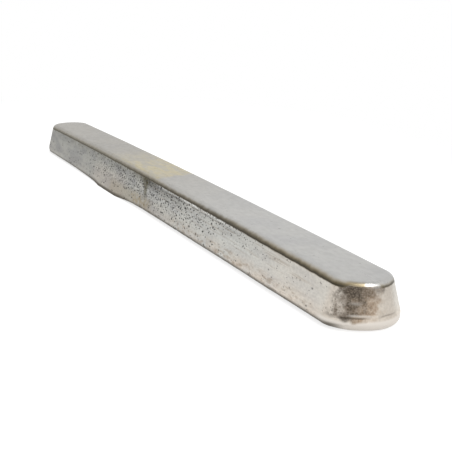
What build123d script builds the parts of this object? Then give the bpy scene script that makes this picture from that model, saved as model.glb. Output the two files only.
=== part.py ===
"""Solder bar: one casting with a narrow top face, drafted sides and rounded ends.

Lengths are in millimetres. X runs along the bar, Z is up, and the origin is on the
underside, at the middle of the outline. The wide underside was the open face of the
mould, so its edges are rounded, except at a short lip where the metal reached the brim.
"""
import os
from math import atan, cos, sin, tan

from build123d import *

# Driving dimensions: the outline at the brim of the mould, and the depth
bar_length = 344.0
bar_width = 29.8
bar_height = 17.1

# How far each side and each end leans in from the brim up to the top
side_lean = 5.2
end_lean = 2.7

# The top is a shallow arch along its length, lower at both ends by this much
crown_drop = 1.3

# Rounded edges: the metal drew in from the brim on the open side of the mould
mould_edge_radius = 2.5
pour_edge_radius = 3.1

# Lip on both long edges of the underside: a full stretch, then a taper at each end of it
lip_center = -49.5
lip_length = 20.0
lip_taper_length = 30.0

# Depth that the lip is set into the metal, so that the two join
lip_seat = 0.1

# How far the tip of the lip goes from the metal (0) to the brim (1)
lip_start_share = 0.3
lip_full_share = 1.0

# Extra height of the blank that the arch cuts away
overrun = 5.0

os.makedirs("parts", exist_ok=True)

# The blank goes on upwards at the same draft as the finished sides and ends
blank_height = bar_height + overrun
blank_share = blank_height / bar_height
blank_top_length = bar_length - 2 * end_lean * blank_share
blank_top_width = bar_width - 2 * side_lean * blank_share
crown_radius = ((bar_length / 2) ** 2 + crown_drop**2) / (2 * crown_drop)

# Section of the lip on the edge at +Y, as points (Y, Z)
side_angle = atan(side_lean / bar_height)
corner_half_angle = atan(bar_height / side_lean) / 2
brim_reach = pour_edge_radius / tan(corner_half_angle)
brim = Vector(bar_width / 2, 0)
side_root = brim + Vector(-sin(side_angle), cos(side_angle)) * brim_reach - Vector(lip_seat, 0)
pour_root = brim + Vector(-brim_reach, lip_seat)
lip_core = Vector(pour_root.X, side_root.Y)
lip_start = (side_root + pour_root) / 2

# Places of the lip's sections along the bar, with the reach of each
lip_sections = [
    (lip_center - lip_length / 2 - lip_taper_length, lip_start_share),
    (lip_center - lip_length / 2, lip_full_share),
    (lip_center + lip_length / 2, lip_full_share),
    (lip_center + lip_length / 2 + lip_taper_length, lip_start_share),
]

with BuildPart() as solder_bar:
    # Drafted blank with full-round ends
    with BuildSketch():
        SlotOverall(bar_length, bar_width)
    with BuildSketch(Plane.XY.offset(blank_height)):
        SlotOverall(blank_top_length, blank_top_width)
    loft(ruled=True)

    # Arched top
    with BuildSketch(Plane.XZ):
        with Locations((0, bar_height - crown_radius)):
            Circle(crown_radius)
    extrude(amount=bar_width, both=True, mode=Mode.INTERSECT)

    # Rounded edges of the top and of the underside
    fillet(faces().sort_by(Axis.Z)[-1].edges(), mould_edge_radius)
    fillet(faces().sort_by(Axis.Z)[0].edges(), pour_edge_radius)

    # Lip along both edges of the underside
    for lip_place, reach_share in lip_sections:
        lip_tip = lip_start + (brim - lip_start) * reach_share
        with BuildSketch(Plane.YZ.offset(lip_place)):
            Polygon(side_root, lip_core, pour_root, lip_tip, align=None)
    lip = loft(ruled=True)
    mirror(lip, about=Plane.XZ)

solder_bar.part.label = "solder_bar"
export_step(solder_bar.part, "parts/solder_bar.step")
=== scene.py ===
"""Looks of the cast solder bar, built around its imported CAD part.

The file is laid out as an add-on and run as a script: one operator makes the bar's casting, one
makes the stage, and a panel in the sidebar of the 3D view lists their settings. Lengths are in
metres, in the frame of the CAD part: X runs along the bar, Z is up, and the bar lies on Z = 0.
"""

import math

import bpy
import numpy as np
from bpy.props import FloatProperty, FloatVectorProperty, IntProperty, PointerProperty
from bpy.types import Operator, Panel, PropertyGroup
from mathutils import Matrix, Vector, kdtree, noise


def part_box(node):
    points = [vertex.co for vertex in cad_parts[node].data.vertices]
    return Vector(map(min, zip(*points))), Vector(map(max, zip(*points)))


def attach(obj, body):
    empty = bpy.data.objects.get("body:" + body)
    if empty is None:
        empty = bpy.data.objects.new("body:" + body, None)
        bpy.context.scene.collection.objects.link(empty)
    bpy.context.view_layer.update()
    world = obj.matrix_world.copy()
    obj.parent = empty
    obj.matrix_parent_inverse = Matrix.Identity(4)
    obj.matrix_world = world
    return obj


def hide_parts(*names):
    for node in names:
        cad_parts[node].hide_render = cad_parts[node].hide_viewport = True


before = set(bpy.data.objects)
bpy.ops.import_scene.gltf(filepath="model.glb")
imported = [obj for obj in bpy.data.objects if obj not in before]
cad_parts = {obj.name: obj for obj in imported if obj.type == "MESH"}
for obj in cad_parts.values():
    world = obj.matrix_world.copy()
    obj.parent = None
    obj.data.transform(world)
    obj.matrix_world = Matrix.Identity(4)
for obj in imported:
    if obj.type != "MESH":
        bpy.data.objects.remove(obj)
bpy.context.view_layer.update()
BAR_LOW, BAR_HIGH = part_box("solder_bar")

bl_info = {
    "name": "Cast solder bar",
    "version": (1, 0, 0),
    "blender": (4, 5, 0),
    "location": "View3D > Sidebar > Solder bar",
    "description": "Makes a cast solder bar, and a plain studio for it",
    "category": "Add Mesh",
}

MM = 0.001
PHOTO_PIXELS = 452
SENSOR_WIDTH = 36.0

# Cold seams round the clean end: height and half height in millimetres, the turn at which each
# starts and ends in radians, and its share of the seam depth, negative for a ridge
SEAMS = (
    (5.7, 0.30, 0.80, 1.47, -0.9),
    (4.95, 0.28, 0.52, 1.22, 0.9),
    (4.9, 0.45, 0.16, 0.45, 0.5),
    (5.0, 0.25, 1.55, 2.05, 0.6),
    (9.5, 0.45, 0.80, 1.06, -0.5),
)
SEAM_FADE = 0.1

# Blotches that hang from the seam: the turn at the middle of each and its half width in
# radians, its fall below the seam in millimetres, and its strength
BLOTCHES = (
    (0.72, 0.16, 1.6, 0.85),
    (0.99, 0.17, 1.9, 0.9),
    (1.18, 0.13, 1.6, 0.5),
    (1.36, 0.16, 1.3, 0.35),
)
BLOTCH_TOP = 5.0

# Stretches of the marks along the bar: start, end and the softness of both, in millimetres
STRETCHES = {
    "above lip": (-66, -36, 16),
    "faint blush": (-44, -14, 7),
    "smear": (-16, 4, 9),
    "olive_below_edge": (-115, -40, 40),
    "wide film": (68, 102, 20),
    "thin tan": (25, 70, 20),
    "crumbs": (60, 88, 14),
    "rim_highlight": (22, 82, 16),
    "lines": (10, 135, 30),
    "low spots": (45, 140, 20),
    "sandy": (-60, 0, 40),
    "crowded": (2, 34, 14),
    "dusty": (60, 105, 20),
}

# Scales of two patterns over the unrolled skin: pores drawn out along the bar, and fine lines
PORE_SCALES = (0.65, 1.0, 1.0)
LINE_SCALES = (45.0, 1500.0, 1.0)

# Raggedness of the pores: scale of its noise, and how far it moves an edge
RAGGED_SCALE = 2200.0
RAGGED_REACH = 0.0006

# Sizes of the mesh faces round the section, as shares of the grid step
POUR_STEP = 0.7
TOP_STEP = 0.6
SIDE_STEP = 0.8
FLAT_STEP = 3.5

# How far the pour edge is filled at the lip: 1 is as far as the sharp brim
LIP_FILL = 1.06

# Softbox above the clean end: its place, the point that it is turned to, and its two sides
SOFTBOX_PLACE = (0.84, 0.12, 0.98)
SOFTBOX_TARGET = (0.16, 0.0, 0.0)
SOFTBOX_SIDES = (0.9, 1.7)

# Corners of the floor, and its place just below the bar
FLOOR_CORNERS = ((-3, -3, 0), (3, -3, 0), (3, 3, 0), (-3, 3, 0))
FLOOR_Z = -0.1 * MM


def length(name, description, default):
    """A setting that is a length in metres."""
    return FloatProperty(name=name, description=description, default=default, unit="LENGTH", precision=5)


def share(name, description, default):
    """A setting that is a plain number."""
    return FloatProperty(name=name, description=description, default=default, precision=3)


def tint(name, description, default):
    """A setting that is a colour."""
    return FloatVectorProperty(
        name=name, description=description, default=default, subtype="COLOR", size=3, min=0, max=1
    )


class BarShape(PropertyGroup):
    """Sizes of the bar's smooth form, without its relief."""

    side_lean: length("Side lean", "How far each side leans in from brim to top", 5.2 * MM)
    end_lean: length("End lean", "How far each end leans in from brim to top", 2.7 * MM)
    crown_drop: length("Crown drop", "How much lower the top is at its ends", 1.3 * MM)
    mould_radius: length("Top edge radius", "Rounding of the edge round the top", 2.5 * MM)
    pour_radius: length("Pour edge radius", "Rounding of the edge of the underside", 3.1 * MM)
    lip_center: length("Lip place", "Middle of the pour lip along the bar", -51.5 * MM)
    lip_length: length("Lip length", "Length over which the lip is full", 25 * MM)
    lip_taper: length("Lip taper", "Length over which the lip fades out", 16 * MM)
    lip_far_power: share("Lip far end", "Form of the fade at the far end, abrupt below 1", 0.8)
    lip_near_power: share("Lip near end", "Form of the fade at the near end, soft above 1", 1.5)
    far_fill: share("Far fill", "How far the pour edge fills the brim beyond the lip", 0.21)
    grid_step: length("Grid step", "Size of a face of the mesh on the sides", 0.55 * MM)


class BarRelief(PropertyGroup):
    """Sizes of the casting's relief."""

    wave: length("Wave height", "Height of the broad waves in the skin", 0.12 * MM)
    wave_size: length("Wave size", "Width of the broad waves", 26 * MM)
    ripple: length("Ripple height", "Height of the small lumps on the sides", 0.05 * MM)
    ripple_size: length("Ripple size", "Width of the small lumps", 4.5 * MM)
    pour_swell: length("Pour swell", "Depth of the hollows in the open pour face", 0.35 * MM)
    pit_count: IntProperty(name="Pits", description="Pits on each long side", default=420)
    pit_radius: length("Pit radius", "Radius of a large pit", 0.6 * MM)
    pit_depth: length("Pit depth", "Depth of a large pit", 0.35 * MM)
    seam_depth: length("Seam depth", "Depth of the cold seams round the clean end", 0.14 * MM)
    end_skew: length("End skew", "How far the pour edge of the clean end is out of true", 0.4 * MM)
    seed: IntProperty(name="Seed", description="Start of the random draws", default=11)


class BarFinish(PropertyGroup):
    """Colours of the as-cast skin."""

    tin: tint("Tin", "Clean skin of the top", (0.468, 0.462, 0.444))
    tin_cloud: tint("Tin cloud", "Duller patches of the top", (0.436, 0.432, 0.422))
    side: tint("Side", "Grainy skin of the sides", (0.57, 0.569, 0.538))
    side_cloud: tint("Side cloud", "Shade of the sides' duller patches", (0.79, 0.79, 0.825))
    warm: tint("Warm oxide", "Warm film low on the sides", (0.588, 0.52, 0.446))
    pale: tint("Pale lip", "Bright rounding under the clean end", (0.645, 0.605, 0.556))
    # Painted shade at the far end, with a duller tone
    shaded_far_top: tint("Dull top", "Shade of the top at the far end", (0.73, 0.70, 0.645))
    shaded_far_side: tint("Dull side", "Shade of the sides at the far end", (0.63, 0.625, 0.61))
    stain: tint("Stain", "Straw-coloured film on the top", (0.485, 0.424, 0.262))
    streak: tint("Streak", "Olive run down the side", (0.10, 0.089, 0.043))
    # Edge film colours, partly a real film and partly painted reflection of a dark surround: dark at the
    # crease, olive at the far end, tan above, gold round the clean end
    film: tint("Edge film", "Dark film at the edge of the top", (0.025, 0.0215, 0.014))
    olive_film_and_reflection: tint("Olive film", "The same film at the far end", (0.06, 0.053, 0.03))
    tan_film_and_reflection: tint("Tan film", "Tan film above the dark one", (0.29, 0.228, 0.128))
    gold_film_and_reflection: tint("Gold film", "The same film round the clean end", (0.25, 0.20, 0.115))
    pore: tint("Pore", "Dirt in the pores", (0.035, 0.034, 0.03))
    soot: tint("Soot", "Soot on the clean end", (0.05, 0.038, 0.026))
    brown: tint("Brown film", "Brown film beside the soot", (0.262, 0.186, 0.12))
    # Painted highlight: a thin bright line just below the top's edge
    rim_highlight: tint("Bright rim", "Rubbed metal just below the top's edge", (0.80, 0.80, 0.78))
    # Painted shade, coloured brown, along the lowest edge
    brim: tint("Brim film", "Brown film along the lowest edge", (0.088, 0.073, 0.052))


class BarMarks(PropertyGroup):
    """Places and widths of the marks on the skin."""

    # Span of the ramp to the far end, which carries the painted shade there
    dull_from: length("Dull from", "Place from which the skin is wholly dull", -70 * MM)
    dull_to: length("Dull to", "Place at which the skin is wholly bright", 110 * MM)
    film_far: length("Film, far end", "Width of the edge film at the far end", 0.95 * MM)
    film_near: length("Film, clean end", "Width of the edge film at the clean end", 1.05 * MM)
    tan_far: length("Tan, far end", "Width of the tan film at the far end", 1.8 * MM)
    tan_near: length("Tan, clean end", "Width of the tan film at the clean end", 3.0 * MM)
    stain_from: length("Stain from", "Start of the stain along the bar", -52 * MM)
    stain_to: length("Stain to", "End of the stain along the bar", 6 * MM)
    streak_place: length("Streak place", "Where the streak leaves the top's edge", -5 * MM)
    streak_lean: share("Streak lean", "How far the streak runs along for its fall", 0.45)
    pores_from: length("Pores from", "Start of the stretch with most pores", -45 * MM)
    pores_to: length("Pores to", "End of the stretch with most pores", 45 * MM)
    end_start: length("Clean end", "Where the clean end begins to turn", 155 * MM)


class BarStage(PropertyGroup):
    """Camera and light of the plain studio."""

    camera_azimuth: share("Azimuth", "Degrees round from the front, towards +X", 65.053)
    camera_elevation: share("Elevation", "Degrees above the floor", 15.079)
    camera_distance: length("Distance", "From the camera to its target", 431.15 * MM)
    target_x: length("Target X", "Middle of the view on the floor", 36.23 * MM)
    target_y: length("Target Y", "Middle of the view on the floor", 10.43 * MM)
    focal_pixels: share("Focal length", "Focal length in pixels of the view", 1001.0)
    floor_tone: tint("Floor", "Pale floor", (0.92, 0.92, 0.92))
    floor_lift: share("Floor lift", "Light that whitens the floor for the camera", 0.3)
    clear_near: share("Shadow loss", "How far the floor is white beside the bar", 0.6)
    clear_from: length("Shadow reach", "How far from the bar the floor starts to clear", 30 * MM)
    clear_to: length("Clear floor", "How far from the bar the floor is plain white", 220 * MM)
    room: share("Room", "Strength of the light from all round", 0.95)
    top_light: share("Top light", "Strength of the softbox above", 3.0)


def stations(half_straight, radius, step):
    """Places along the bar: share of the straight run, then the turn round each end."""
    straight = np.linspace(-1, 1, round(2 * half_straight / step) + 1)
    turn = np.linspace(0, math.pi / 2, round(radius * math.pi / 2 / step) + 1)[1:]
    run = np.concatenate([-np.ones(len(turn)), straight, np.ones(len(turn))])
    angle = np.concatenate([-turn[::-1], np.zeros(len(straight)), turn])
    return run, angle


def smooth_step(low, high, value):
    """0 below low, 1 above high, and an S-curve between."""
    t = np.clip((value - low) / (high - low), 0, 1)
    return t * t * (3 - 2 * t)


def lip_reach(shape, x):
    """How far the pour edge fills the brim at a place along the bar: 1 where it is sharp."""
    beyond = np.maximum(np.abs(x - shape.lip_center) - shape.lip_length / 2, 0)
    power = np.where(x < shape.lip_center, shape.lip_far_power, shape.lip_near_power)
    lip = np.exp(-((beyond / shape.lip_taper) ** power))
    base = shape.far_fill * smooth_step(0, -60 * MM, x)
    return base + (LIP_FILL - base) * lip


def bar_grid(shape):
    """The smooth bar as rings of points, with each point's place on the skin."""
    height = BAR_HIGH.z
    side_slope = shape.side_lean / height
    end_slope = shape.end_lean / height
    side_angle = math.atan(side_slope)
    end_shrink = shape.pour_radius * (end_slope + 1 / math.cos(math.atan(end_slope)) - 1)
    half_width = (BAR_HIGH.y - BAR_LOW.y) / 2
    half_length = (BAR_HIGH.x - BAR_LOW.x) / 2 + end_shrink

    run, angle = stations(half_length - half_width, half_width, shape.grid_step)
    x_mid = run * (half_length - half_width) + np.sin(angle) * half_width
    top = (height - shape.crown_drop * (x_mid / half_length) ** 2)[:, None]
    reach = lip_reach(shape, x_mid)[:, None]

    # Pour edge: a rounding, filled towards the sharp brim at the lip, with a mesh line on the brim
    arc = shape.pour_radius * (math.pi / 2 + side_angle)
    arc_steps = 2 * round(arc / (2 * POUR_STEP * shape.grid_step))
    t = np.linspace(0, 1, arc_steps + 1)[None, :]
    phi = -math.pi / 2 + t * (math.pi / 2 + side_angle)
    round_z = shape.pour_radius * (1 + np.sin(phi))
    brim_inset = side_slope * shape.pour_radius + shape.pour_radius / math.cos(side_angle)
    round_inset = brim_inset - shape.pour_radius * np.cos(phi) - side_slope * round_z
    sharp_z = round_z[0, -1] * np.clip(2 * t - 1, 0, 1)
    sharp_inset = brim_inset * np.clip(1 - 2 * t, 0, 1)
    pour_z = round_z + (sharp_z - round_z) * reach
    pour_inset = round_inset + (sharp_inset - round_inset) * reach

    # Top edge and the plain side between the two edges
    arc_steps = round(shape.mould_radius * (math.pi / 2 - side_angle) / (TOP_STEP * shape.grid_step))
    phi = np.linspace(side_angle, math.pi / 2, arc_steps + 1)[None, :]
    center_z = top - shape.mould_radius
    mould_z = center_z + shape.mould_radius * np.sin(phi)
    mould_inset = side_slope * (center_z - mould_z) + shape.mould_radius / math.cos(side_angle)
    mould_inset = mould_inset - shape.mould_radius * np.cos(phi)
    side_steps = round((height - shape.pour_radius) / (SIDE_STEP * shape.grid_step))
    t = np.linspace(0, 1, side_steps + 1)[None, 1:-1]
    side_z = pour_z[:, -1:] + (mould_z[:, :1] - pour_z[:, -1:]) * t

    z = np.concatenate([pour_z, side_z, mould_z], axis=1)
    inset = np.concatenate([pour_inset, np.zeros_like(side_z), mould_inset], axis=1)
    half_w = half_width - side_slope * z - inset
    half_l = half_length - end_slope * z - inset
    x = run[:, None] * (half_l - half_w) + np.sin(angle)[:, None] * half_w
    y = -half_w * np.cos(angle)[:, None]
    edge = np.stack([x, y, z], axis=2)

    # Distance over the section from the lower line of the top edge, negative down the side
    steps = np.linalg.norm(np.diff(edge, axis=1), axis=2)
    travelled = np.concatenate([np.zeros((len(run), 1)), np.cumsum(steps, axis=1)], axis=1)
    around = travelled - travelled[:, [-mould_z.shape[1]]]

    # Flat faces: from the middle of the underside out to its edge, and from the top's edge in
    flat_steps = round(half_width / (FLAT_STEP * shape.grid_step))
    out = np.linspace(0, 1, flat_steps + 1)[:-1]
    under = edge[:, :1] * [1, 0, 1] + edge[:, :1] * [0, 1, 0] * out[:, None]
    over = edge[:, -1:] * [1, 0, 1] + edge[:, -1:] * [0, 1, 0] * out[::-1, None]
    under_around = np.repeat(around[:, :1], flat_steps, axis=1)
    over_around = around[:, -1:] + np.abs(edge[:, -1:, 1] - over[:, :, 1])
    path = np.concatenate([under, edge, over], axis=1)
    around = np.concatenate([under_around, around, over_around], axis=1)

    mirrored = path[:, -2:0:-1] * [1, -1, 1]
    ring = np.concatenate([path, mirrored], axis=1)
    around = np.concatenate([around, around[:, -2:0:-1]], axis=1)

    def both_halves(front, back):
        halves = (front[:, None].repeat(path.shape[1], 1), back[:, None].repeat(mirrored.shape[1], 1))
        return np.concatenate(halves, axis=1)

    walk = run * (half_length - half_width) + angle * half_width
    places = {
        "around": around,
        "along": both_halves(walk, 2 * walk[-1] - walk),
        "turn": both_halves(angle, math.pi - angle),
    }
    return ring, places


def write_floats(mesh, fields):
    """Adds vertex attributes to a mesh."""
    for name, values in fields.items():
        attribute = mesh.attributes.new(name, "FLOAT", "POINT")
        attribute.data.foreach_set("value", values.astype(np.float32))


def welded_mesh(name, ring, values):
    """A closed mesh from rings of points, with one vertex where rings meet at the tips."""
    count, around = ring.shape[:2]
    points = ring.reshape(-1, 3)
    _, first, index = np.unique(np.round(points, 8), axis=0, return_index=True, return_inverse=True)
    index = index.reshape(count, around)
    after = np.roll(index, -1, axis=1)
    quads = np.stack([index[:-1], index[1:], after[1:], after[:-1]], axis=2).reshape(-1, 4)
    faces = []
    for quad in quads.tolist():
        corners = list(dict.fromkeys(quad))
        if len(corners) > 2:
            faces.append(corners)
    mesh = bpy.data.meshes.new(name)
    mesh.from_pydata(points[first].tolist(), [], faces)
    mesh.update()
    write_floats(mesh, {key: value.reshape(-1)[first] for key, value in values.items()})
    mesh.polygons.foreach_set("use_smooth", np.ones(len(faces), bool))
    return mesh


def read_points(mesh, source, field):
    """Vertex places or normals of a mesh as rows."""
    values = np.zeros(len(mesh.vertices) * 3, np.float32)
    source.foreach_get(field, values)
    return values.reshape(-1, 3).astype(float)


def read_floats(mesh, name):
    """A vertex attribute of a mesh."""
    values = np.zeros(len(mesh.vertices), np.float32)
    mesh.attributes[name].data.foreach_get("value", values)
    return values.astype(float)


def lumps(points, size, offset):
    """Smooth noise over points, with lumps of about that size, from -1 to 1."""
    return np.array([noise.noise(Vector(p / size) + Vector(offset)) for p in points])


def pit_field(points, around, relief, draw):
    """Depth of the pits over the long sides, as a share, at each point."""
    depth = np.zeros(len(points))
    tree = kdtree.KDTree(len(points))
    for i, p in enumerate(points):
        tree.insert(p, i)
    tree.balance()
    low = around.min()
    side_points = np.flatnonzero((around < -0.6 * MM) & (around > low + 1.5 * MM))
    # More pits in the middle third and high on the side, none on the ends
    x = points[side_points, 0]
    high = 1 - around[side_points] / low
    weight = (0.1 + np.exp(-(((x - 12 * MM) / (55 * MM)) ** 2))) * (0.2 + high)
    weight *= smooth_step(145 * MM, 115 * MM, np.abs(x))
    picks = draw.choice(side_points, size=2 * relief.pit_count, replace=False, p=weight / weight.sum())
    for pick in picks:
        size = relief.pit_radius * draw.uniform(0.7, 1.1)
        strength = draw.uniform(0.3, 1.0)
        for _, i, distance in tree.find_range(Vector(points[pick]), size):
            depth[i] = max(depth[i], strength * (1 - (distance / size) ** 2))
    return depth


def seam_field(points, turn):
    """Depth of the cold seams round the clean end as a share, negative on the ridges."""
    waver = lumps(points * [1, 1, 0.2], 5 * MM, (1.7, 8.1, 0.6))
    broken = lumps(points * [1, 1, 0.4], 4 * MM, (6.6, 0.9, 3.3))
    seam = np.zeros(len(points))
    for height, half_height, turn_from, turn_to, depth in SEAMS:
        off_seam = points[:, 2] - (height + 0.45 * waver) * MM
        line = np.exp(-((off_seam / (half_height * MM)) ** 2)) * smooth_step(-0.8, -0.3, broken)
        line *= smooth_step(turn_from - SEAM_FADE, turn_from + SEAM_FADE, turn)
        line *= smooth_step(turn_to + SEAM_FADE, turn_to - SEAM_FADE, turn)
        seam = np.where(line > np.abs(seam), depth * line, seam)
    return seam


def blotch_field(points, turn):
    """Strength of the soft blotches that hang from the seam."""
    ragged = 0.25 * lumps(points, 1.6 * MM, (2.4, 7.3, 5.5))
    blotch = np.zeros(len(points))
    for middle, half_width, fall, strength in BLOTCHES:
        aside = (turn - middle) / half_width
        below = (BLOTCH_TOP * MM - points[:, 2]) / (fall * MM)
        outside = np.hypot(aside, np.maximum(below, 0)) + ragged
        hung = smooth_step(1.15, 0.6, outside) * smooth_step(-0.3, 0.0, below)
        blotch = np.maximum(blotch, strength * hung)
    return blotch


def brim_shade_field(points, normals):
    """Strength of the painted shade along the lowest edge and on the faces turned down: taller on the
    far half, lower at the lip.
    """
    x = points[:, 0]
    far = smooth_step(20 * MM, -30 * MM, x)
    on_lip = smooth_step(-72 * MM, -62 * MM, x) * smooth_step(-30 * MM, -42 * MM, x)
    film_top = (2.1 + 0.5 * far - 0.9 * on_lip) * MM
    low = smooth_step(film_top, 0.7 * MM, points[:, 2])
    return np.maximum(smooth_step(0.0, -0.55, normals[:, 2]), low)


def cast_relief(mesh, relief):
    """Gives the smooth bar the waves, lumps, pits and seams of a casting."""
    points = read_points(mesh, mesh.vertices, "co")
    normals = read_points(mesh, mesh.vertex_normals, "vector")
    around = read_floats(mesh, "around")
    draw = np.random.RandomState(relief.seed)
    on_side = smooth_step(1.0 * MM, -0.8 * MM, around)
    under = smooth_step(0.4 * MM, 0.0, points[:, 2]) * smooth_step(-0.6, -0.95, normals[:, 2])

    wave = relief.wave * lumps(points, relief.wave_size, (3.1, 0.4, 7.7))
    ripple = relief.ripple * lumps(points, relief.ripple_size, (0.3, 5.2, 1.9))
    fine = relief.ripple * 0.5 * lumps(points, relief.ripple_size / 3, (9.3, 2.2, 4.9))
    shift = wave * (0.4 + 0.6 * on_side) + (ripple + fine) * (0.1 + 0.9 * on_side)

    pits = pit_field(points, around, relief, draw)
    turn = read_floats(mesh, "turn")
    seam = seam_field(points, turn)
    shift -= relief.pit_depth * pits + relief.seam_depth * seam
    pour_edge = smooth_step(3.2 * MM, 1.8 * MM, points[:, 2]) * smooth_step(0.1, -0.3, normals[:, 2])
    on_end = smooth_step(157 * MM, 165 * MM, points[:, 0])
    skew = np.sin(2 * (turn - 1.45)) * smooth_step(2.8, 2.2, turn)
    shift += relief.end_skew * pour_edge * on_end * skew

    points += normals * (shift * (1 - under))[:, None]
    swell = 0.5 + 0.5 * lumps(points, 9 * MM, (4.4, 1.3, 2.8))
    points[:, 2] += relief.pour_swell * under * swell
    points[:, 2] = np.maximum(points[:, 2], 0)
    mesh.vertices.foreach_set("co", points.astype(np.float32).reshape(-1))
    brim = brim_shade_field(points, normals)
    blotch = blotch_field(points, turn)
    write_floats(mesh, {"pit": pits, "seam": seam, "brim": brim, "blotch": blotch})
    mesh.update()


class Nodes:
    """Short ways to add and join the nodes of one tree."""

    def __init__(self, tree):
        self.tree = tree

    def add(self, kind, inputs=None, **settings):
        node = self.tree.nodes.new(kind)
        for key, value in settings.items():
            setattr(node, key, value)
        for key, value in (inputs or {}).items():
            self.feed(node.inputs[key], value)
        return node

    def feed(self, socket, value):
        if isinstance(value, bpy.types.NodeSocket):
            self.tree.links.new(value, socket)
        elif socket.type == "RGBA" and len(value) == 3:
            socket.default_value = (*value, 1)
        else:
            socket.default_value = value

    def math(self, operation, a, b=0.0):
        return self.add("ShaderNodeMath", {0: a, 1: b}, operation=operation).outputs[0]

    def remap(self, value, low, high, to_low=0.0, to_high=1.0, soft=True):
        inputs = {"Value": value, "From Min": low, "From Max": high, "To Min": to_low, "To Max": to_high}
        form = "SMOOTHSTEP" if soft else "LINEAR"
        return self.add("ShaderNodeMapRange", inputs, interpolation_type=form).outputs["Result"]

    def mix(self, amount, a, b, blend_type="MIX"):
        inputs = {0: amount, 6: a, 7: b}
        return self.add("ShaderNodeMix", inputs, data_type="RGBA", blend_type=blend_type).outputs[2]

    def blend(self, amount, a, b):
        return self.add("ShaderNodeMix", {0: amount, 2: a, 3: b}, data_type="FLOAT").outputs[0]

    def scale(self, vector, amount):
        inputs = {0: vector, "Scale": amount}
        return self.add("ShaderNodeVectorMath", inputs, operation="SCALE").outputs[0]

    def times(self, *factors):
        product = factors[0]
        for factor in factors[1:]:
            product = self.math("MULTIPLY", product, factor)
        return product

    def most(self, first, *others):
        for other in others:
            first = self.math("MAXIMUM", first, other)
        return first

    def value(self, name):
        return self.add("ShaderNodeAttribute", attribute_name=name).outputs["Fac"]

    def group(self, tree, inputs):
        return self.add("ShaderNodeGroup", inputs, node_tree=tree).outputs[0]


def new_group(name, sockets, output):
    """An empty node group with inputs for numbers or a vector, and one number output."""
    tree = bpy.data.node_groups.new(name, "ShaderNodeTree")
    for socket, default in sockets.items():
        kind = "NodeSocketVector" if default is None else "NodeSocketFloat"
        item = tree.interface.new_socket(socket, in_out="INPUT", socket_type=kind)
        if default is not None:
            item.default_value = default
    tree.interface.new_socket(output, in_out="OUTPUT", socket_type="NodeSocketFloat")
    nodes = Nodes(tree)
    return tree, nodes, nodes.add("NodeGroupInput").outputs, nodes.add("NodeGroupOutput").inputs


def pores_group():
    """Small pores with ragged edges, one to a cell of a plane, thinned out by an amount."""
    sockets = {"Vector": None, "Scale": 900.0, "Radius": 0.3, "Amount": 0.5}
    tree, nodes, given, result = new_group("Pores", sockets, "Mask")
    wobble = nodes.add("ShaderNodeTexNoise", {"Vector": given["Vector"], "Scale": RAGGED_SCALE})
    inputs = {0: wobble.outputs["Color"], 1: (0.5, 0.5, 0.5)}
    bent = nodes.add("ShaderNodeVectorMath", inputs, operation="SUBTRACT").outputs[0]
    inputs = {0: given["Vector"], 1: nodes.scale(bent, RAGGED_REACH)}
    place = nodes.add("ShaderNodeVectorMath", inputs, operation="ADD")
    inputs = {"Vector": place.outputs[0], "Scale": given["Scale"]}
    cells = nodes.add("ShaderNodeTexVoronoi", inputs, voronoi_dimensions="2D")
    parts = nodes.add("ShaderNodeSeparateColor", {0: cells.outputs["Color"]})
    kept = nodes.math("LESS_THAN", parts.outputs[0], given["Amount"])
    radius = nodes.times(given["Radius"], nodes.math("ADD", parts.outputs[1], 0.5))
    hole = nodes.remap(cells.outputs["Distance"], nodes.times(radius, 0.7), radius, 1.0, 0.0)
    nodes.feed(result["Mask"], nodes.times(hole, kept))
    return tree


def mottle_group():
    """Cloudy patches from 0 to 1, sharpened between two levels of a noise."""
    sockets = {"Vector": None, "Scale": 100.0, "Detail": 4.0, "Low": 0.4, "High": 0.6}
    tree, nodes, given, result = new_group("Mottle", sockets, "Value")
    cloud = nodes.add("ShaderNodeTexNoise", {k: given[k] for k in ("Vector", "Scale", "Detail")})
    nodes.feed(result["Value"], nodes.remap(cloud.outputs["Fac"], given["Low"], given["High"]))
    return tree


def window_group():
    """1 between two limits of a value, with soft borders."""
    sockets = {"Value": 0.0, "Low": 0.0, "High": 1.0, "Soft": 0.1}
    tree, nodes, given, result = new_group("Window", sockets, "Mask")
    below = nodes.math("SUBTRACT", given["Low"], given["Soft"])
    above = nodes.math("ADD", given["High"], given["Soft"])
    rise = nodes.remap(given["Value"], below, given["Low"])
    fall = nodes.remap(given["Value"], given["High"], above, 1.0, 0.0)
    nodes.feed(result["Mask"], nodes.times(rise, fall))
    return tree


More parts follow.
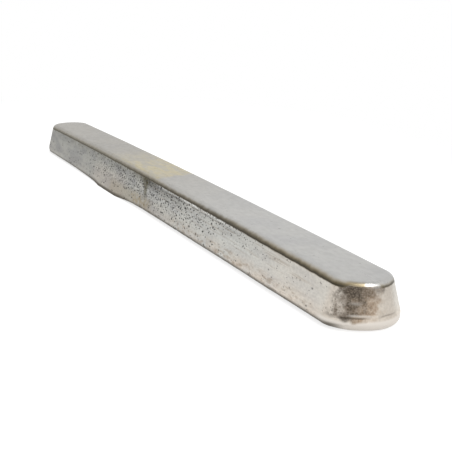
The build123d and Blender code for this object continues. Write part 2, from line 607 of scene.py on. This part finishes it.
class Skin(Nodes):
    """Nodes of the bar's skin, with the places and patterns that its layers share."""

    def __init__(self, tree, marks):
        super().__init__(tree)
        self.pores, self.mottle, self.window = pores_group(), mottle_group(), window_group()
        self.place = self.add("ShaderNodeTexCoord").outputs["Object"]
        self.x, self.y, self.z = self.add("ShaderNodeSeparateXYZ", {0: self.place}).outputs
        self.around = self.value("around")
        self.turn = self.value("turn")
        self.along = self.value("along")
        self.unrolled = self.add("ShaderNodeCombineXYZ", {0: self.along, 1: self.around}).outputs[0]
        self.pitted = self.drawn(self.unrolled, PORE_SCALES)
        self.on_side = self.down(0.2, -0.2)
        # Ramp towards the far end, used for the painted shade and other changes there
        self.dull = self.remap(self.x, marks.dull_to, marks.dull_from)
        self.on_end = self.remap(self.x, marks.end_start - 2 * MM, marks.end_start + 4 * MM)
        self.pale_lip = self.times(self.on_end, self.remap(self.z, 4.3 * MM, 3.3 * MM))
        self.grain = self.cloud(1500, 0.28, 0.72, 3.0, long=0.5)

    def drawn(self, vector, scales):
        """A place scaled along each axis: a scale below 1 draws the pattern out."""
        return self.add("ShaderNodeVectorMath", {0: vector, 1: scales}, operation="MULTIPLY").outputs[0]

    def cloud(self, scale, low, high, detail=4.0, long=1.0, flat=1.0):
        """Patches of noise between two levels, drawn out along the bar or flattened."""
        vector = self.place
        if long != 1.0 or flat != 1.0:
            vector = self.drawn(vector, (long, 1.0, flat))
        inputs = {"Vector": vector, "Scale": scale, "Detail": detail, "Low": low, "High": high}
        return self.group(self.mottle, inputs)

    def dots(self, scale, radius, amount):
        """Pores over the unrolled skin."""
        inputs = {"Vector": self.pitted, "Scale": scale, "Radius": radius, "Amount": amount}
        return self.group(self.pores, inputs)

    def band(self, value, low, high, soft):
        """1 between two limits, with soft borders."""
        return self.group(self.window, {"Value": value, "Low": low, "High": high, "Soft": soft})

    def stretch(self, name):
        """1 along one of the stretches of the bar."""
        start, end, soft = STRETCHES[name]
        return self.band(self.x, start * MM, end * MM, soft * MM)

    def down(self, start, end, *to):
        """Change between two distances from the top's edge in millimetres, negative below it."""
        return self.remap(self.around, start * MM, end * MM, *to)

    def minus(self, value):
        return self.math("SUBTRACT", 1.0, value)


def clean_metal(skin, finish):
    """Satin top and grainy sides, both darker towards the far end, partly a duller tone and partly
    painted shade.
    """
    top = skin.mix(skin.cloud(70, 0.35, 0.7), finish.tin, finish.tin_cloud)
    # Painted shade: the top darker towards the far end
    top = skin.mix(skin.dull, top, finish.shaded_far_top, "MULTIPLY")
    low = skin.times(skin.down(-6, -13), skin.cloud(90, 0.25, 0.65), skin.blend(skin.dull, 1.0, 0.3))
    low = skin.times(low, skin.remap(skin.x, 50 * MM, 120 * MM, 0.55, 1.0))
    side = skin.mix(low, finish.side, finish.warm)
    # Warmer towards the clean end, and lighter there: painted light
    near = skin.remap(skin.x, 90 * MM, 140 * MM)
    side = skin.mix(skin.times(near, 0.35), side, finish.warm)
    side = skin.scale(side, skin.blend(near, 1.0, 1.08))
    side = skin.mix(skin.times(skin.pale_lip, 0.9), side, finish.pale)
    cloudy = skin.cloud(260, 0.4, 0.62, 5.0, long=0.25)
    cloudy = skin.times(cloudy, skin.blend(skin.dull, 0.35, 1.0), skin.minus(skin.on_end))
    side = skin.mix(cloudy, side, finish.side_cloud, "MULTIPLY")
    # Painted shade: the sides darker towards the far end
    side = skin.mix(skin.dull, side, finish.shaded_far_side, "MULTIPLY")
    above_lip = skin.times(skin.stretch("above lip"), skin.down(-2, -9), 0.3)
    side = skin.mix(above_lip, side, finish.warm)
    return skin.mix(skin.on_side, top, side)


def top_stain(skin, finish, marks, color):
    """Straw-coloured film on the top, fading away from the clean end."""
    wander = skin.times(skin.math("SUBTRACT", skin.cloud(110, 0.2, 0.8), 0.5), 8 * MM)
    x = skin.math("ADD", skin.x, wander)
    start = skin.remap(x, marks.stain_from - 14 * MM, marks.stain_from + 34 * MM)
    end = skin.remap(x, marks.stain_to + 2 * MM, marks.stain_to - 2 * MM)
    on_top = skin.down(0.8, 2.5)
    patchy = skin.blend(skin.cloud(330, 0.38, 0.62, 5.0, long=0.4), 0.35, 1.0)
    color = skin.mix(skin.times(start, end, on_top, patchy), color, finish.stain)
    flecks = skin.cloud(650, 0.6, 0.7, 3.0, long=0.4)
    return skin.mix(skin.times(start, end, on_top, flecks, 0.45), color, finish.tan_film_and_reflection)


def side_streak(skin, finish, marks, color):
    """Olive run down the side, with a smear at its top and a tan blush at its foot."""
    fall = skin.times(skin.around, -marks.streak_lean)
    across = skin.math("SUBTRACT", skin.x, skin.math("ADD", fall, marks.streak_place))
    grainy = skin.blend(skin.cloud(900, 0.35, 0.6), 0.6, 1.0)

    # The blush goes on faintly as far as the lip
    low = skin.times(skin.band(skin.around, -15 * MM, -11 * MM, 4 * MM), skin.on_side)
    patchy = skin.blend(skin.cloud(450, 0.35, 0.65), 0.3, 1.0)
    blush = skin.times(skin.band(across, -15 * MM, 2 * MM, 9 * MM), patchy, 0.75)
    blush = skin.most(blush, skin.times(skin.stretch("faint blush"), 0.3))
    color = skin.mix(skin.times(blush, low), color, finish.tan_film_and_reflection)

    # The run is wide at the top's edge and narrow below it
    spread = skin.down(-5, 0, 1.0, 4.0)
    inner = skin.times(spread, 0.3 * MM)
    outer = skin.times(spread, 3.2 * MM)
    line = skin.remap(skin.math("ABSOLUTE", across), inner, outer, 1.0, 0.0)
    streak = skin.times(line, skin.down(-12, -4.5), skin.on_side, grainy)
    smear = skin.times(skin.stretch("smear"), skin.down(-4.5, -0.3), skin.on_side, grainy, 0.55)
    streak = skin.times(skin.most(streak, smear), skin.remap(skin.y, 0.0, -2 * MM))
    return skin.mix(streak, color, finish.streak)


def edge_film_and_reflection(skin, finish, marks, color):
    """Film along the edge of the top, partly real and partly painted reflection of a dark surround: tan
    above, nearly black at the crease.
    """
    at_tip = skin.times(skin.on_end, skin.remap(skin.turn, 0.3, 0.7))
    drop = skin.remap(skin.x, 110 * MM, 165 * MM, 0.4 * MM, 0.2 * MM)
    around = skin.math("ADD", skin.around, skin.times(drop, skin.minus(at_tip)))
    wander = skin.math("SUBTRACT", skin.cloud(300, 0.2, 0.8, 5.0), 0.5)
    low_edge = skin.math("ADD", around, skin.times(wander, 0.25 * MM))
    high_edge = skin.math("ADD", around, skin.times(wander, 0.45 * MM))
    width = skin.remap(skin.x, BAR_LOW.x, BAR_HIGH.x, marks.film_far, marks.film_near, soft=False)
    width = skin.times(width, skin.blend(skin.stretch("wide film"), 1.0, 1.25))
    back = skin.times(skin.on_end, skin.remap(skin.turn, 1.5, 1.8))
    gold = skin.times(skin.on_end, skin.remap(skin.turn, 0.42, 0.84), skin.remap(skin.turn, 1.2, 1.08))
    bare = skin.times(skin.on_end, skin.band(skin.turn, 0.9, 1.58, 0.16))
    width = skin.times(width, skin.blend(back, 1.0, 0.5), skin.blend(gold, 1.0, 0.4))
    lift = skin.times(skin.on_end, skin.band(skin.turn, 0.68, 1.4, 0.25), 0.9 * MM)
    rise = skin.remap(skin.math("SUBTRACT", low_edge, lift), -0.4 * MM, 0.1 * MM)
    dark_fall = skin.remap(high_edge, skin.times(width, 0.1), skin.times(width, 1.9), 1.0, 0.0)
    tan_width = skin.remap(skin.x, BAR_LOW.x, BAR_HIGH.x, marks.tan_far, marks.tan_near, soft=False)
    tan_width = skin.times(tan_width, skin.blend(back, 1.0, 0.5), skin.blend(gold, 1.0, 0.8))
    tan_width = skin.times(tan_width, skin.blend(skin.stretch("thin tan"), 1.0, 0.75))
    tan_edge = skin.math("SUBTRACT", high_edge, lift)
    tan_fall = skin.remap(tan_edge, skin.times(tan_width, 0.2), tan_width, 1.0, 0.0)

    # The film is missing at the tip of the clean end, and gold where it thins out
    tan = skin.times(rise, tan_fall, skin.minus(skin.times(bare, skin.minus(gold))))
    tan = skin.times(tan, skin.blend(skin.dull, 0.9, 0.6), skin.blend(back, 1.0, 0.6))
    dark = skin.times(rise, dark_fall, skin.minus(bare), skin.blend(back, 0.92, 0.75))
    crumbs = skin.times(skin.cloud(1500, 0.42, 0.56, 2.0), skin.stretch("crumbs"))
    crumbs = skin.times(crumbs, skin.band(around, -0.35 * MM, 0.3 * MM, 0.25 * MM), 0.8)
    dark = skin.most(dark, crumbs)
    # Patchy olive darkening of the sides just below the top's edge
    olive_below_edge = skin.times(skin.down(-4.5, -0.5), skin.stretch("olive_below_edge"))
    olive_below_edge = skin.times(olive_below_edge, skin.on_side, skin.cloud(420, 0.3, 0.65), 0.28)
    color = skin.mix(olive_below_edge, color, finish.streak)
    # Tan and gold film, then the dark film at the crease: partly real, partly painted reflection
    color = skin.mix(tan, color, skin.mix(gold, finish.tan_film_and_reflection, finish.gold_film_and_reflection))
    color = skin.mix(dark, color, skin.mix(skin.dull, finish.film, finish.olive_film_and_reflection))
    return color, skin.times(bare, skin.minus(gold))


def painted_rim_highlight(skin, finish, color):
    """Painted highlight as a thin bright line below the dark film, with a dark scratch under it."""
    reach = skin.stretch("rim_highlight")
    scratch = skin.band(skin.around, -1.95 * MM, -1.65 * MM, 0.2 * MM)
    scratch = skin.times(scratch, skin.cloud(450, 0.38, 0.55))
    # Painted highlight along this line
    line = skin.band(skin.around, -1.0 * MM, -0.75 * MM, 0.22 * MM)
    line = skin.times(line, skin.cloud(500, 0.2, 0.42))
    color = skin.mix(skin.times(scratch, reach, 0.45), color, finish.pore)
    return skin.mix(skin.times(line, reach), color, finish.rim_highlight)


def end_soot(skin, finish, marks, color):
    """Soot and brown film on the clean end; also gives the soot's mask."""
    past = skin.math("SUBTRACT", skin.along, marks.end_start)
    blush = skin.times(skin.on_end, skin.on_side, skin.band(past, 5 * MM, 31 * MM, 5 * MM))
    blush = skin.times(blush, skin.minus(skin.pale_lip))
    color = skin.mix(skin.times(blush, 0.6), color, finish.warm)
    at_tip = skin.times(blush, skin.remap(past, 20 * MM, 26 * MM))
    color = skin.scale(color, skin.blend(at_tip, 1.0, 0.85))

    # Specks where the end begins to turn, then soot, then a brown film up to the tip
    grainy = skin.blend(skin.cloud(1700, 0.3, 0.7, 3.0), 0.68, 1.0)
    foot = skin.remap(skin.turn, 0.75, 0.95, 4.2 * MM, 4.9 * MM)
    above_foot = skin.remap(skin.math("SUBTRACT", skin.z, foot), 0.0, 1.3 * MM)
    zone = skin.times(skin.on_end, skin.down(1.0, 0.6), above_foot)
    wander = skin.times(skin.math("SUBTRACT", skin.cloud(360, 0.25, 0.75, 5.0), 0.5), 5 * MM)
    past = skin.math("ADD", past, wander)
    speckled = skin.times(skin.band(past, 6 * MM, 12 * MM, 3 * MM), zone)
    hazy = skin.times(skin.cloud(800, 0.42, 0.62, 3.0), skin.down(-7, -1, 0.22, 0.42), speckled)
    color = skin.mix(hazy, color, finish.soot)
    specks = skin.dots(1500.0, 0.36, skin.times(speckled, 0.45))
    color = skin.mix(skin.times(specks, 0.4), color, finish.soot)
    patchy = skin.blend(skin.cloud(260, 0.3, 0.6, 5.0), 0.85, 1.1)
    brown = skin.times(skin.remap(past, 7 * MM, 15 * MM), skin.remap(past, 28 * MM, 20.5 * MM))
    brown = skin.times(brown, patchy, grainy)
    layers = skin.blend(skin.cloud(210, 0.36, 0.54, 5.0, flat=2.2), 0.62, 1.0)
    soot = skin.times(skin.remap(past, 6.5 * MM, 13.5 * MM), skin.remap(past, 23 * MM, 16.5 * MM))
    soot = skin.times(soot, layers, grainy)
    crust = skin.times(skin.down(-5, -1), skin.band(past, 10 * MM, 22 * MM, 5 * MM))
    trail = skin.times(skin.down(-2.5, -0.8), skin.band(past, 16 * MM, 26 * MM, 3 * MM))
    crust = skin.times(skin.most(crust, trail), grainy)
    soot = skin.most(soot, skin.math("ADD", skin.times(soot, 0.5), skin.times(crust, 0.65)))
    soot = skin.times(soot, zone)
    color = skin.mix(skin.times(brown, zone, 0.85), color, finish.brown)
    color = skin.mix(skin.times(soot, 0.95), color, finish.soot)

    # Blotches on the step below the seams, greyer on the side away from the tip
    greyer = skin.remap(skin.turn, 1.0, 0.75)
    blotches = skin.times(skin.value("blotch"), skin.on_end, grainy)
    return skin.mix(blotches, color, skin.mix(greyer, finish.brown, finish.soot)), soot


def fine_lines(skin, finish, color):
    """Thin broken lines along the sides, most just below the top's edge, and spots low down."""
    inputs = {"Vector": skin.drawn(skin.unrolled, LINE_SCALES), "Scale": 1.0, "Detail": 3.0}
    lines = skin.group(skin.mottle, {**inputs, "Low": 0.5, "High": 0.7})
    heights = skin.blend(skin.down(-9, -3), 0.15, 0.4)
    lines = skin.times(lines, skin.stretch("lines"), heights, skin.on_side)
    color = skin.mix(lines, color, finish.brown)
    low = skin.times(skin.band(skin.around, -13.2 * MM, -10 * MM, 1.5 * MM), skin.stretch("low spots"))
    spots = skin.cloud(750, 0.46, 0.66, long=0.35)
    return skin.mix(skin.times(low, spots, 0.5), color, finish.brown)


def pore_zones(skin, marks):
    """Where the sides have many pores, a sandy skin, and pores side by side."""
    reach = skin.band(skin.x, marks.pores_from, marks.pores_to, 45 * MM)
    dense = skin.times(reach, skin.down(-13, -4, 0.14, 1.0), skin.on_side)
    sandy = skin.times(skin.stretch("sandy"), skin.on_side, skin.down(-13, -7))
    crowded = skin.times(skin.stretch("crowded"), skin.down(-6, -2))
    return dense, sandy, crowded


def cast_grain(skin, zones, color):
    """Grain of the sides and a faint one on the top, with painted shade just below the top's edge; also
    gives the grain's depth.
    """
    dense, sandy, crowded = zones
    depth = skin.blend(sandy, skin.blend(dense, 0.08, 0.14), 0.22)
    depth = skin.times(depth, skin.minus(skin.pale_lip))
    gain = skin.blend(skin.grain, skin.minus(depth), skin.math("ADD", 1.0, depth))
    # Painted shade: the sides darker within a few millimetres below the top's edge
    shaded = skin.times(skin.down(-7, -2.5), skin.remap(skin.x, 125 * MM, 100 * MM, 0.4, 1.0))
    gain = skin.times(gain, skin.blend(crowded, 1.0, 0.72), skin.blend(shaded, 1.0, 0.9))
    gain = skin.times(gain, skin.blend(dense, 1.0, 1.03))
    faint = skin.cloud(600, 0.3, 0.7, 3.0, long=0.5)
    faint = skin.remap(faint, 0.0, 1.0, 0.95, 1.05, soft=False)
    return skin.scale(color, skin.blend(skin.on_side, faint, gain)), depth


def cast_pores(skin, zones):
    """Masks of the pores, and of the dirt in pores and pits and on the top."""
    dense, sandy, crowded = zones
    clumps = skin.blend(skin.cloud(130, 0.3, 0.7, long=0.5), 0.5, 1.25)
    amount = skin.times(skin.blend(dense, 0.05, 0.5), clumps)
    amount = skin.most(amount, skin.times(crowded, 0.75))
    off_end = skin.times(skin.on_side, skin.minus(skin.on_end))
    large = skin.dots(850.0, 0.29, skin.times(amount, off_end))
    dusty = skin.times(skin.stretch("dusty"), skin.down(-8, -3))
    amount = skin.most(skin.times(dense, 0.3), skin.times(sandy, 0.26), skin.times(dusty, 0.3), 0.05)
    small = skin.dots(1350.0, 0.32, skin.times(amount, off_end))
    pores = skin.times(skin.most(large, small), skin.remap(skin.x, 60 * MM, 120 * MM, 1.0, 0.65))
    specks = skin.times(skin.cloud(700, 0.68, 0.74, 2.0), skin.minus(skin.on_side), 0.3)
    return pores, skin.most(pores, skin.remap(skin.value("pit"), 0.3, 0.9), specks)


def cast_tin(finish, marks):
    """The as-cast skin of the bar."""
    material = bpy.data.materials.new("cast_tin")
    material.use_nodes = True
    skin = Skin(material.node_tree, marks)
    shader = material.node_tree.nodes["Principled BSDF"]

    color = clean_metal(skin, finish)
    color = top_stain(skin, finish, marks, color)
    color = painted_rim_highlight(skin, finish, color)
    color = side_streak(skin, finish, marks, color)
    color, soot = end_soot(skin, finish, marks, color)
    color = fine_lines(skin, finish, color)

    # Grain, and dirt in the pores, pits and seams
    zones = pore_zones(skin, marks)
    color, depth = cast_grain(skin, zones, color)
    pores, dirt = cast_pores(skin, zones)
    color = skin.mix(skin.times(dirt, 0.95), color, finish.pore)
    seam = skin.value("seam")
    color = skin.mix(skin.remap(seam, 0.0, 1.0, 0.0, 0.85, soft=False), color, finish.soot)
    color = skin.mix(skin.remap(seam, 0.0, -1.0, 0.0, 0.6, soft=False), color, finish.pale)

    # Film and painted reflection along the top's edge, and painted shade along the brim, which is faint
    # in front
    color, bare = edge_film_and_reflection(skin, finish, marks, color)
    front = skin.times(skin.on_end, skin.remap(skin.turn, 0.3, 0.8))
    # Painted shade along the lowest edge and under the bar
    brim = skin.times(skin.value("brim"), skin.blend(front, 1.0, 0.09), skin.blend(skin.dull, 0.9, 1.0))
    color = skin.mix(brim, color, finish.brim)

    skin.feed(shader.inputs["Base Color"], color)
    satin = skin.blend(bare, skin.blend(skin.cloud(400, 0.3, 0.7), 0.32, 0.38), 0.24)
    roughness = skin.blend(skin.on_side, satin, 0.52)
    soiled = skin.most(dirt, skin.times(soot, 0.8))
    skin.feed(shader.inputs["Roughness"], skin.blend(soiled, roughness, 0.75))
    skin.feed(shader.inputs["Metallic"], skin.minus(skin.times(soiled, 0.6)))
    height = skin.math("SUBTRACT", skin.times(skin.grain, depth), pores)
    bump = skin.add("ShaderNodeBump", {"Height": height, "Strength": 0.5, "Distance": 0.25 * MM})
    skin.feed(shader.inputs["Normal"], bump.outputs[0])
    return material


class OBJECT_OT_solder_bar(Operator):
    """Make the bar's casting, which stands for the CAD part"""

    bl_idname = "object.solder_bar"
    bl_label = "Solder bar"

    def execute(self, context):
        scene = context.scene
        ring, places = bar_grid(scene.bar_shape)
        mesh = welded_mesh("solder_bar_casting", ring, places)
        cast_relief(mesh, scene.bar_relief)
        mesh.materials.append(cast_tin(scene.bar_finish, scene.bar_marks))
        casting = bpy.data.objects.new("solder_bar_casting", mesh)
        scene.collection.objects.link(casting)
        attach(casting, "root")
        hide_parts("solder_bar")
        return {"FINISHED"}


def seen_ray(nodes):
    """1 for what the camera sees, also in metal or through glass."""
    path = nodes.add("ShaderNodeLightPath").outputs
    return nodes.most(path["Is Camera Ray"], path["Is Glossy Ray"], path["Is Transmission Ray"])


def floor_material(stage):
    """Pale floor that the camera sees as white, with the bar's shadow on it."""
    material = bpy.data.materials.new("pale_floor")
    material.use_nodes = True
    nodes = Nodes(material.node_tree)
    shader = material.node_tree.nodes["Principled BSDF"]
    nodes.feed(shader.inputs["Base Color"], tuple(stage.floor_tone))
    shader.inputs["Roughness"].default_value = 0.9
    shader.inputs["Specular IOR Level"].default_value = 0.0
    seen = seen_ray(nodes)
    shader.inputs["Emission Color"].default_value = (1, 1, 1, 1)
    nodes.feed(shader.inputs["Emission Strength"], nodes.times(seen, stage.floor_lift))

    # The floor clears to plain white away from the bar, with a light shadow beside it
    place = nodes.add("ShaderNodeTexCoord").outputs["Object"]
    xyz = nodes.add("ShaderNodeSeparateXYZ", {0: place}).outputs
    past_end = nodes.math("SUBTRACT", nodes.math("ABSOLUTE", xyz[0]), BAR_HIGH.x)
    beyond = nodes.most(past_end, 0.0)
    away = nodes.add("ShaderNodeCombineXYZ", {0: beyond, 1: xyz[1]}).outputs[0]
    distance = nodes.add("ShaderNodeVectorMath", {0: away}, operation="LENGTH").outputs["Value"]
    clear = nodes.remap(distance, stage.clear_from, stage.clear_to, stage.clear_near, 1.0)
    clear = nodes.times(seen, clear)
    white = nodes.add("ShaderNodeEmission").outputs[0]
    mixed = nodes.add("ShaderNodeMixShader", {0: clear, 1: shader.outputs[0], 2: white})
    nodes.feed(material.node_tree.nodes["Material Output"].inputs["Surface"], mixed.outputs[0])
    return material


def room_light(stage):
    """Even light from all round, white where it is seen."""
    world = bpy.data.worlds.new("studio_room")
    world.use_nodes = True
    nodes = Nodes(world.node_tree)
    back = world.node_tree.nodes["Background"]
    back.inputs["Color"].default_value = (1, 1, 1, 1)
    nodes.feed(back.inputs["Strength"], nodes.blend(seen_ray(nodes), stage.room, 1.0))
    return world


def softbox(name, strength):
    """A rectangular lamp of even brightness, turned to a point."""
    width, depth = SOFTBOX_SIDES
    light = bpy.data.lights.new(name, "AREA")
    light.shape = "RECTANGLE"
    light.size = width
    light.size_y = depth
    light.energy = strength * math.pi * width * depth
    lamp = bpy.data.objects.new(name, light)
    lamp.location = SOFTBOX_PLACE
    aim = Vector(SOFTBOX_TARGET) - Vector(SOFTBOX_PLACE)
    lamp.rotation_euler = aim.to_track_quat("-Z", "Y").to_euler()
    lamp.visible_camera = False
    bpy.context.scene.collection.objects.link(lamp)


def photo_camera(stage):
    """A camera at the photograph's viewing angle."""
    azimuth = math.radians(stage.camera_azimuth)
    elevation = math.radians(stage.camera_elevation)
    level = math.cos(elevation)
    back = Vector((math.sin(azimuth) * level, -math.cos(azimuth) * level, math.sin(elevation)))
    right = Vector((math.cos(azimuth), math.sin(azimuth), 0))
    lens = bpy.data.cameras.new("photo_camera")
    lens.sensor_width = SENSOR_WIDTH
    lens.lens = stage.focal_pixels / PHOTO_PIXELS * SENSOR_WIDTH
    lens.clip_start = 0.01
    camera = bpy.data.objects.new("photo_camera", lens)
    turned = Matrix((right, back.cross(right), back)).transposed().to_4x4()
    target = Vector((stage.target_x, stage.target_y, 0))
    camera.matrix_world = Matrix.Translation(target + back * stage.camera_distance) @ turned
    return camera


class SCENE_OT_bar_stage(Operator):
    """Make the pale floor, the soft light and the camera"""

    bl_idname = "scene.bar_stage"
    bl_label = "Bar stage"

    def execute(self, context):
        scene = context.scene
        stage = scene.bar_stage
        mesh = bpy.data.meshes.new("floor")
        mesh.from_pydata(FLOOR_CORNERS, [], [(0, 1, 2, 3)])
        mesh.materials.append(floor_material(stage))
        floor = bpy.data.objects.new("floor", mesh)
        floor.location.z = FLOOR_Z
        scene.collection.objects.link(floor)

        scene.world = room_light(stage)
        softbox("top_softbox", stage.top_light)

        camera = photo_camera(stage)
        scene.collection.objects.link(camera)
        scene.camera = camera
        scene.view_settings.view_transform = "Standard"
        return {"FINISHED"}


class VIEW3D_PT_solder_bar(Panel):
    """Settings and steps of the solder bar"""

    bl_idname = "VIEW3D_PT_solder_bar"
    bl_label = "Solder bar"
    bl_space_type = "VIEW_3D"
    bl_region_type = "UI"
    bl_category = "Solder bar"

    def draw(self, context):
        layout = self.layout
        for key in SETTINGS:
            box = layout.box()
            settings = getattr(context.scene, key)
            for name in settings.__annotations__:
                box.prop(settings, name)
        layout.operator(SCENE_OT_bar_stage.bl_idname)
        layout.operator(OBJECT_OT_solder_bar.bl_idname)


SETTINGS = {
    "bar_shape": BarShape,
    "bar_relief": BarRelief,
    "bar_finish": BarFinish,
    "bar_marks": BarMarks,
    "bar_stage": BarStage,
}
CLASSES = (*SETTINGS.values(), OBJECT_OT_solder_bar, SCENE_OT_bar_stage, VIEW3D_PT_solder_bar)


def register():
    for cls in CLASSES:
        bpy.utils.register_class(cls)
    for key, cls in SETTINGS.items():
        setattr(bpy.types.Scene, key, PointerProperty(type=cls))


def unregister():
    for key in SETTINGS:
        delattr(bpy.types.Scene, key)
    for cls in reversed(CLASSES):
        bpy.utils.unregister_class(cls)


def main():
    register()
    bpy.ops.scene.bar_stage()
    bpy.ops.object.solder_bar()


if __name__ == "__main__":
    main()
